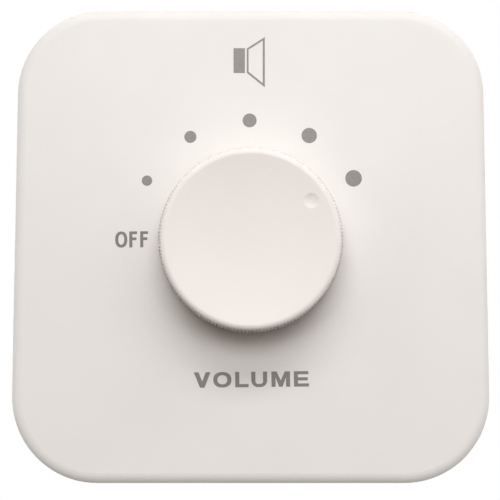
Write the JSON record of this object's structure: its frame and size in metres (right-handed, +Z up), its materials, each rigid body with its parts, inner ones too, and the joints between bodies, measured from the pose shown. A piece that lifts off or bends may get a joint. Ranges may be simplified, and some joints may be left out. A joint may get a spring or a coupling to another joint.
{
  "type": "wall volume control",
  "caption": "Square wall plate with round corners and a large dished, knurled knob that turns a stepped volume switch, with a tapped transformer and screw terminals behind it.",
  "frame": {"origin": "middle of the wall plane, half way between the two fixing slots", "axes": "+X to the right and +Z up as seen from the room; the plate faces -Y and the switch lies behind it at +Y"},
  "size_m": [0.086, 0.0527, 0.086],
  "materials": {
    "ivory_plastic": "satin gloss moulded plastic",
    "frame_plastic": "matt moulded plastic",
    "steel": "zinc plated",
    "dark_steel": "oiled spring steel",
    "core_steel": "varnished laminations",
    "brass": "turned and stamped brass",
    "copper": "enamelled copper wire",
    "phenolic": "brown paper laminate",
    "black_plastic": "black moulded plastic",
    "tape": "yellow polyester tape",
    "board": "green solder mask",
    "terminal_plastic": "green moulded plastic",
    "lead_red": "red insulated wire",
    "lead_grey": "grey insulated wire"
  },
  "bodies": {
    "base": {"front_cover": "ivory_plastic", "mounting_frame": "frame_plastic", "switch_bush": "brass", "lock_washer": "steel", "bush_nut": "brass", "index_plate": "steel", "stop_pins": "dark_steel", "detent_spring": "dark_steel", "switch_studs": "dark_steel", "spacer_tubes": "brass", "stud_nuts": "steel", "wafer_stator": "phenolic", "stator_contacts": "brass", "common_contact": "brass", "core_e": "core_steel", "core_i": "core_steel", "bobbin": "black_plastic", "winding": "copper", "winding_tape": "tape", "bobbin_pins": "steel", "core_strap": "steel", "strap_screws": "steel", "terminal_board": "board", "board_screws": "steel", "terminal_housing": "terminal_plastic", "terminal_clamps": "brass", "terminal_screws": "steel", "tap_leads": "lead_red", "line_leads": "lead_grey"},
    "dial": {"knob": "ivory_plastic", "knob_clip": "steel", "switch_shaft": "steel", "retaining_ring": "dark_steel", "detent_wheel": "steel", "wafer_rotor": "black_plastic", "rotor_contact": "brass"}
  },
  "joints": [
    {"name": "knob_turn", "type": "hinge", "parent": "base", "child": "dial", "pos_m": [0, 0, 0.0004], "axis": [0, -1, 0], "range_deg": [0, 150], "deforming": ["detent_spring"]}
  ]
}
